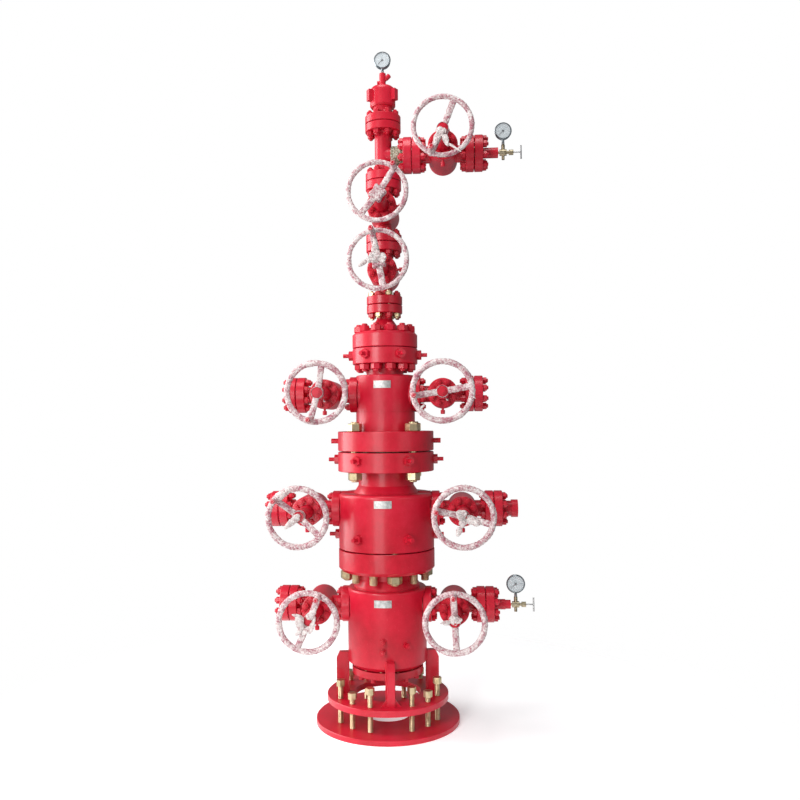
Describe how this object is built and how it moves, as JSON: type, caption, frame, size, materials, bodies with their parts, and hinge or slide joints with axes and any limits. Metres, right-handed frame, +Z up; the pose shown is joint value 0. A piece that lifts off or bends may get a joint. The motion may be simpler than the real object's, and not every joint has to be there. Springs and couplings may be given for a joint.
{
  "type": "wellhead valve stack",
  "caption": "Tall flanged wellhead and valve tree on a round base plate, with handwheel gate valves on its sides and run, and dial gauges.",
  "frame": {"origin": "centre of the base plate's underside, on the bore's axis", "axes": "+Z up along the stack, +X towards the side outlets with gauges, and -Y towards the person who turns the handwheels"},
  "size_m": [1.5885, 1.026, 4.0635],
  "materials": {
    "red_paint": "gloss",
    "wheel_film": "satin",
    "zinc": "satin",
    "steel": "satin",
    "gauge": "polished"
  },
  "bodies": {
    "stack": {"base_plate": "red_paint", "base_ring": "red_paint", "base_screws": "zinc", "base_gussets": "red_paint", "lock_collar": "red_paint", "casing_head": "red_paint", "casing_spool": "red_paint", "tubing_head": "red_paint", "tree_adapter": "red_paint", "casing_left_body": "red_paint", "casing_right_body": "red_paint", "spool_left_body": "red_paint", "spool_right_body": "red_paint", "tubing_left_body": "red_paint", "tubing_right_body": "red_paint", "lower_master_body": "red_paint", "upper_master_body": "red_paint", "wing_body": "red_paint", "valve_bonnets": "red_paint", "flow_tee": "red_paint", "cap_body": "red_paint", "cap_union": "red_paint", "blind_flanges": "red_paint", "casing_outlet_flange": "red_paint", "spool_outlet_flange": "red_paint", "wing_outlet_flange": "red_paint", "casing_needle_valve": "steel", "casing_gauge": "gauge", "wing_needle_valve": "steel", "wing_gauge": "gauge", "top_needle_valve": "red_paint", "top_gauge": "gauge", "ring_gaskets": "steel", "lock_screws": "red_paint"},
    "casing_left_handwheel": {"casing_left_handwheel": "wheel_film"},
    "casing_right_handwheel": {"casing_right_handwheel": "wheel_film"},
    "spool_left_handwheel": {"spool_left_handwheel": "wheel_film"},
    "spool_right_handwheel": {"spool_right_handwheel": "wheel_film"},
    "tubing_left_handwheel": {"tubing_left_handwheel": "wheel_film"},
    "tubing_right_handwheel": {"tubing_right_handwheel": "wheel_film"},
    "lower_master_handwheel": {"lower_master_handwheel": "wheel_film"},
    "upper_master_handwheel": {"upper_master_handwheel": "wheel_film"},
    "wing_handwheel": {"wing_handwheel": "wheel_film"},
    "casing_tee_handle": {"casing_tee_handle": "steel"},
    "wing_tee_handle": {"wing_tee_handle": "steel"}
  },
  "joints": [
    {"name": "casing_left_spin", "type": "hinge", "parent": "stack", "child": "casing_left_handwheel", "pos_m": [-0.4065, -0.435, 0.703], "axis": [0, 1, 0], "range_deg": [0, 4770]},
    {"name": "casing_right_spin", "type": "hinge", "parent": "stack", "child": "casing_right_handwheel", "pos_m": [0.4065, -0.435, 0.703], "axis": [0, 1, 0], "range_deg": [0, 4770]},
    {"name": "spool_left_spin", "type": "hinge", "parent": "stack", "child": "spool_left_handwheel", "pos_m": [-0.4605, -0.435, 1.283], "axis": [0, 1, 0], "range_deg": [0, 4770]},
    {"name": "spool_right_spin", "type": "hinge", "parent": "stack", "child": "spool_right_handwheel", "pos_m": [0.4605, -0.435, 1.283], "axis": [0, 1, 0], "range_deg": [0, 4770]},
    {"name": "tubing_left_spin", "type": "hinge", "parent": "stack", "child": "tubing_left_handwheel", "pos_m": [-0.3495, -0.435, 1.978], "axis": [0, 1, 0], "range_deg": [0, 4770]},
    {"name": "tubing_right_spin", "type": "hinge", "parent": "stack", "child": "tubing_right_handwheel", "pos_m": [0.3495, -0.435, 1.978], "axis": [0, 1, 0], "range_deg": [0, 4770]},
    {"name": "lower_master_spin", "type": "hinge", "parent": "stack", "child": "lower_master_handwheel", "pos_m": [0, -0.435, 2.7075], "axis": [0, 1, 0], "range_deg": [0, 4770]},
    {"name": "upper_master_spin", "type": "hinge", "parent": "stack", "child": "upper_master_handwheel", "pos_m": [0, -0.435, 3.0825], "axis": [0, 1, 0], "range_deg": [0, 4770]},
    {"name": "wing_spin", "type": "hinge", "parent": "stack", "child": "wing_handwheel", "pos_m": [0.3635, -0.435, 3.43], "axis": [0, 1, 0], "range_deg": [0, 4770]},
    {"name": "casing_needle_turn", "type": "hinge", "parent": "stack", "child": "casing_tee_handle", "pos_m": [0.884, 0, 0.703], "axis": [1, 0, 0], "range_deg": [0, 2160]},
    {"name": "wing_needle_turn", "type": "hinge", "parent": "stack", "child": "wing_tee_handle", "pos_m": [0.833, 0, 3.43], "axis": [1, 0, 0], "range_deg": [0, 2160]}
  ]
}
